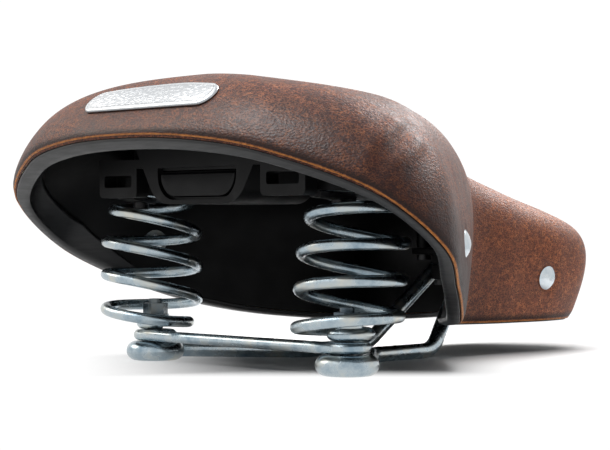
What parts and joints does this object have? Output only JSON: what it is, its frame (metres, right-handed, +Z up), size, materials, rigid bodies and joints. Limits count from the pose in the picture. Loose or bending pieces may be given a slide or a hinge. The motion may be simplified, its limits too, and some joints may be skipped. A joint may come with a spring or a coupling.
{
  "type": "bicycle saddle",
  "caption": "Sprung bicycle saddle with a padded brown hood on a black shell, hinged at its nose on bent wire rails and carried at the rear by coil springs.",
  "frame": {"origin": "under the middle of the saddle's length and width, on the surface that its wire feet stand on", "axes": "+Z up, +Y towards the nose, +X to the rider's right"},
  "size_m": [0.2484, 0.2975, 0.1269],
  "materials": {
    "cover_leather": "distressed grained leatherette, satin",
    "foam": "open-cell foam",
    "shell_plastic": "smooth moulded, glossy",
    "band_plastic": "satin",
    "bracket_plastic": "fine satin",
    "zinc_steel": "bright zinc plated",
    "bright_metal": "polished",
    "black_steel": "satin paint"
  },
  "bodies": {
    "rails": {"rail_wire": "zinc_steel", "crossbar": "zinc_steel", "spring_left": "zinc_steel", "spring_right": "zinc_steel", "spring_bolts": "zinc_steel", "spring_washers": "zinc_steel", "spring_nuts": "zinc_steel"},
    "seat": {"cover": "cover_leather", "foam_pad": "foam", "base_shell": "shell_plastic", "rim_band": "band_plastic", "badge_plate": "bright_metal", "skirt_rivets": "bright_metal", "rivet_washers": "black_steel", "under_bracket": "bracket_plastic", "bracket_screws": "black_steel", "spring_keepers": "black_steel", "keeper_screws": "black_steel", "nose_block": "bracket_plastic", "nose_block_screws": "black_steel", "nose_cap": "bracket_plastic", "nose_cap_screws": "black_steel"},
    "cap": {"clip_cap": "bracket_plastic"}
  },
  "joints": [
    {"name": "seat_hinge", "type": "hinge", "parent": "rails", "child": "seat", "pos_m": [0, 0.06318, 0.043], "axis": [1, 0, 0], "range_deg": [0, 6], "stiffness_Nm_per_rad": 806, "springref_deg": -0.11, "deforming": ["spring_left", "spring_right"]},
    {"name": "cap_slide", "type": "slide", "parent": "seat", "child": "cap", "axis": [0, -1, 0], "range_m": [0, 0.03]}
  ]
}
